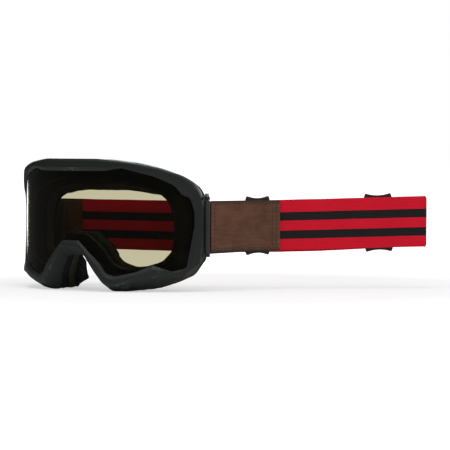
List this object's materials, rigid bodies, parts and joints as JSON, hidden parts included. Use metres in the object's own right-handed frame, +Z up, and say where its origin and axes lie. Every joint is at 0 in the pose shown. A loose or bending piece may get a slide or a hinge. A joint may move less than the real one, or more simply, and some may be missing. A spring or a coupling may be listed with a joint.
{
  "type": "motocross goggles",
  "caption": "Motocross goggles with a smoked lens, layered face foam, hinged leather tabs and a striped elastic strap that lies flat to one side.",
  "frame": {"origin": "on the floor, under the middle of the box round the whole assembly at rest", "axes": "+X to the wearer's left, along the longer side of the box; -Y out of the front of the lens; +Z up"},
  "size_m": [0.296, 0.2022, 0.1037],
  "materials": {
    "frame_plastic": "satin black moulding, fine grain",
    "inner_plastic": "matt black moulding",
    "lens_smoke": "clear polycarbonate with a smoke tint",
    "base_foam_black": "open-cell foam, black",
    "middle_foam_olive": "open-cell foam, dark olive",
    "face_fleece": "brushed fleece on foam, black",
    "vent_foam": "coarse open-cell foam",
    "outrigger_plastic": "satin dark grey moulding",
    "pin_metal": "dull steel",
    "leather_brown": "waxed brown leather with a fine grain",
    "lining_grey": "rough grey-brown split leather",
    "elastic_striped": "woven elastic, red with two black stripes",
    "slider_plastic": "matt dark moulding"
  },
  "bodies": {
    "frame": {"frame_shell": "frame_plastic", "inner_frame": "inner_plastic", "lens": "lens_smoke", "base_foam": "base_foam_black", "middle_foam": "middle_foam_olive", "face_foam": "face_fleece", "brow_vent_foam": "vent_foam", "lower_vent_foam_left": "vent_foam", "lower_vent_foam_right": "vent_foam", "hinge_pin_left": "pin_metal", "hinge_pin_right": "pin_metal", "strap_elastic": "elastic_striped", "strap_return": "elastic_striped"},
    "outrigger_left_arm": {"outrigger_left": "outrigger_plastic", "leather_tab_left": "leather_brown", "tab_lining_left": "lining_grey"},
    "outrigger_right_arm": {"outrigger_right": "outrigger_plastic", "leather_tab_right": "leather_brown", "tab_lining_right": "lining_grey", "front_slider": "slider_plastic"},
    "rear_slider_body": {"rear_slider": "slider_plastic"}
  },
  "joints": [
    {"name": "outrigger_left_hinge", "type": "hinge", "parent": "frame", "child": "outrigger_left_arm", "pos_m": [-0.14579, -0.0408, 0.05], "axis": [0, 0, 1], "range_deg": [0, 12]},
    {"name": "outrigger_right_hinge", "type": "hinge", "parent": "frame", "child": "outrigger_right_arm", "pos_m": [0.03518, -0.0408, 0.05], "axis": [0, 0, -1], "range_deg": [0, 12]},
    {"name": "rear_slider_slide", "type": "slide", "parent": "frame", "child": "rear_slider_body", "axis": [0.7769, 0.6291, 0.0244], "range_m": [-0.04, 0.012]}
  ]
}
